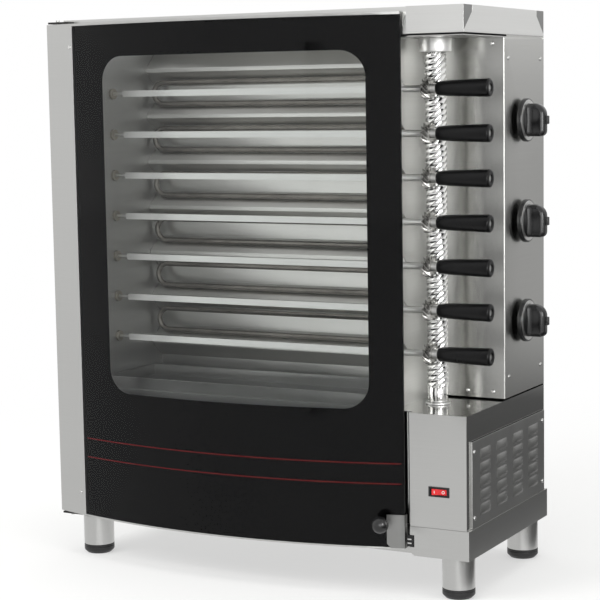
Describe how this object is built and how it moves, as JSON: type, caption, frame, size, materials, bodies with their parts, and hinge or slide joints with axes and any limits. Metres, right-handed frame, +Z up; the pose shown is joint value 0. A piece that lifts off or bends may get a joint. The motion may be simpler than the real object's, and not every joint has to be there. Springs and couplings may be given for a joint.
{
  "type": "electric skewer grill",
  "caption": "Countertop grill with a bowed glass door, horizontal skewers geared to one upright worm, folded reflectors with heating rods, rotary heat knobs and levelling feet",
  "frame": {"origin": "on the floor, under the middle of the box round the whole object", "axes": "+Z up, the door and the open drive bay face -Y, the skewers run along X with their handles and the heat knobs at +X"},
  "size_m": [0.778, 0.394, 0.881],
  "materials": {
    "stainless_sheet": "brushed along the sheet",
    "polished_sheet": "bright, nearly mirror",
    "tray_sheet": "satin",
    "turned_steel": "machined, bright",
    "gear_steel": "machined, oiled",
    "skewer_steel": "drawn, bright",
    "screw_steel": "plain",
    "heater_sheath": "heat-tinted, matt",
    "bush_bronze": "sintered, satin",
    "clear_glass": "toughened, clear",
    "black_enamel": "gloss, fired on the glass",
    "black_phenolic": "satin black",
    "black_plastic": "semi-matt black",
    "foot_plastic": "matt black",
    "red_plastic": "translucent red",
    "control_ceramic": "unglazed",
    "motor_enamel": "grey enamel"
  },
  "bodies": {
    "cabinet": {"base_plinth": "stainless_sheet", "left_side_panel": "stainless_sheet", "cavity_left_wall": "stainless_sheet", "cavity_right_wall": "stainless_sheet", "cavity_floor": "stainless_sheet", "ceiling_sheet": "stainless_sheet", "back_panel": "stainless_sheet", "reflector_sheet": "polished_sheet", "heating_elements": "heater_sheath", "drip_tray": "tray_sheet", "tip_bushes": "bush_bronze", "top_cover": "stainless_sheet", "control_housing": "stainless_sheet", "motor_box": "polished_sheet", "motor_front_panel": "stainless_sheet", "vent_panel": "stainless_sheet", "worm_bearings": "turned_steel", "gear_motor": "motor_enamel", "switch_bezel": "black_plastic", "hinge_brackets": "stainless_sheet", "magnetic_catch": "black_plastic", "heat_controls": "control_ceramic", "cable_gland": "black_plastic", "panel_screws": "screw_steel"},
    "door": {"door_glass": "clear_glass", "door_border": "black_enamel", "door_frame": "stainless_sheet", "latch_plate": "polished_sheet", "ball_knob": "black_phenolic"},
    "worm": {"worm_teeth": "turned_steel", "worm_journals": "turned_steel"},
    "skewer_1": {"skewer_rod_1": "skewer_steel", "skewer_gear_1": "gear_steel", "skewer_handle_1": "black_phenolic"},
    "skewer_2": {"skewer_rod_2": "skewer_steel", "skewer_gear_2": "gear_steel", "skewer_handle_2": "black_phenolic"},
    "skewer_3": {"skewer_rod_3": "skewer_steel", "skewer_gear_3": "gear_steel", "skewer_handle_3": "black_phenolic"},
    "skewer_4": {"skewer_rod_4": "skewer_steel", "skewer_gear_4": "gear_steel", "skewer_handle_4": "black_phenolic"},
    "skewer_5": {"skewer_rod_5": "skewer_steel", "skewer_gear_5": "gear_steel", "skewer_handle_5": "black_phenolic"},
    "skewer_6": {"skewer_rod_6": "skewer_steel", "skewer_gear_6": "gear_steel", "skewer_handle_6": "black_phenolic"},
    "skewer_7": {"skewer_rod_7": "skewer_steel", "skewer_gear_7": "gear_steel", "skewer_handle_7": "black_phenolic"},
    "heat_knob_1": {"heat_knob_1": "black_plastic"},
    "heat_knob_2": {"heat_knob_2": "black_plastic"},
    "heat_knob_3": {"heat_knob_3": "black_plastic"},
    "switch_rocker": {"switch_rocker": "red_plastic"},
    "foot_1": {"foot_1": "foot_plastic"},
    "foot_2": {"foot_2": "foot_plastic"},
    "foot_3": {"foot_3": "foot_plastic"},
    "foot_4": {"foot_4": "foot_plastic"}
  },
  "joints": [
    {"name": "door_swing", "type": "hinge", "parent": "cabinet", "child": "door", "pos_m": [-0.371, -0.141, 0.47], "axis": [0, 0, -1], "range_deg": [0, 105]},
    {"name": "worm_spin", "type": "hinge", "parent": "cabinet", "child": "worm", "pos_m": [0.259, -0.05632, 0.56], "axis": [0, 0, 1], "continuous": true},
    {"name": "skewer_1_spin", "type": "hinge", "parent": "cabinet", "child": "skewer_1", "pos_m": [0.259, -0.085, 0.3625], "axis": [1, 0, 0], "continuous": true},
    {"name": "skewer_2_spin", "type": "hinge", "parent": "cabinet", "child": "skewer_2", "pos_m": [0.259, -0.085, 0.429], "axis": [1, 0, 0], "continuous": true},
    {"name": "skewer_3_spin", "type": "hinge", "parent": "cabinet", "child": "skewer_3", "pos_m": [0.259, -0.085, 0.4955], "axis": [1, 0, 0], "continuous": true},
    {"name": "skewer_4_spin", "type": "hinge", "parent": "cabinet", "child": "skewer_4", "pos_m": [0.259, -0.085, 0.562], "axis": [1, 0, 0], "continuous": true},
    {"name": "skewer_5_spin", "type": "hinge", "parent": "cabinet", "child": "skewer_5", "pos_m": [0.259, -0.085, 0.6285], "axis": [1, 0, 0], "continuous": true},
    {"name": "skewer_6_spin", "type": "hinge", "parent": "cabinet", "child": "skewer_6", "pos_m": [0.259, -0.085, 0.695], "axis": [1, 0, 0], "continuous": true},
    {"name": "skewer_7_spin", "type": "hinge", "parent": "cabinet", "child": "skewer_7", "pos_m": [0.259, -0.085, 0.7615], "axis": [1, 0, 0], "continuous": true},
    {"name": "heat_knob_1_turn", "type": "hinge", "parent": "cabinet", "child": "heat_knob_1", "pos_m": [0.344, 0.077, 0.399], "axis": [-1, 0, 0], "range_deg": [0, 270]},
    {"name": "heat_knob_2_turn", "type": "hinge", "parent": "cabinet", "child": "heat_knob_2", "pos_m": [0.344, 0.077, 0.555], "axis": [-1, 0, 0], "range_deg": [0, 270]},
    {"name": "heat_knob_3_turn", "type": "hinge", "parent": "cabinet", "child": "heat_knob_3", "pos_m": [0.344, 0.077, 0.711], "axis": [-1, 0, 0], "range_deg": [0, 270]},
    {"name": "switch_tip", "type": "hinge", "parent": "cabinet", "child": "switch_rocker", "pos_m": [0.2995, -0.142, 0.165], "axis": [0, 0, -1], "range_deg": [0, 16]},
    {"name": "foot_1_level", "type": "slide", "parent": "cabinet", "child": "foot_1", "axis": [0, 0, -1], "range_m": [0, 0.02]},
    {"name": "foot_2_level", "type": "slide", "parent": "cabinet", "child": "foot_2", "axis": [0, 0, -1], "range_m": [0, 0.02]},
    {"name": "foot_3_level", "type": "slide", "parent": "cabinet", "child": "foot_3", "axis": [0, 0, -1], "range_m": [0, 0.02]},
    {"name": "foot_4_level", "type": "slide", "parent": "cabinet", "child": "foot_4", "axis": [0, 0, -1], "range_m": [0, 0.02]}
  ],
  "couplings": [
    {"joint": "skewer_1_spin", "follows": "worm_spin", "ratio": -1},
    {"joint": "skewer_2_spin", "follows": "worm_spin", "ratio": -1},
    {"joint": "skewer_3_spin", "follows": "worm_spin", "ratio": -1},
    {"joint": "skewer_4_spin", "follows": "worm_spin", "ratio": -1},
    {"joint": "skewer_5_spin", "follows": "worm_spin", "ratio": -1},
    {"joint": "skewer_6_spin", "follows": "worm_spin", "ratio": -1},
    {"joint": "skewer_7_spin", "follows": "worm_spin", "ratio": -1}
  ]
}
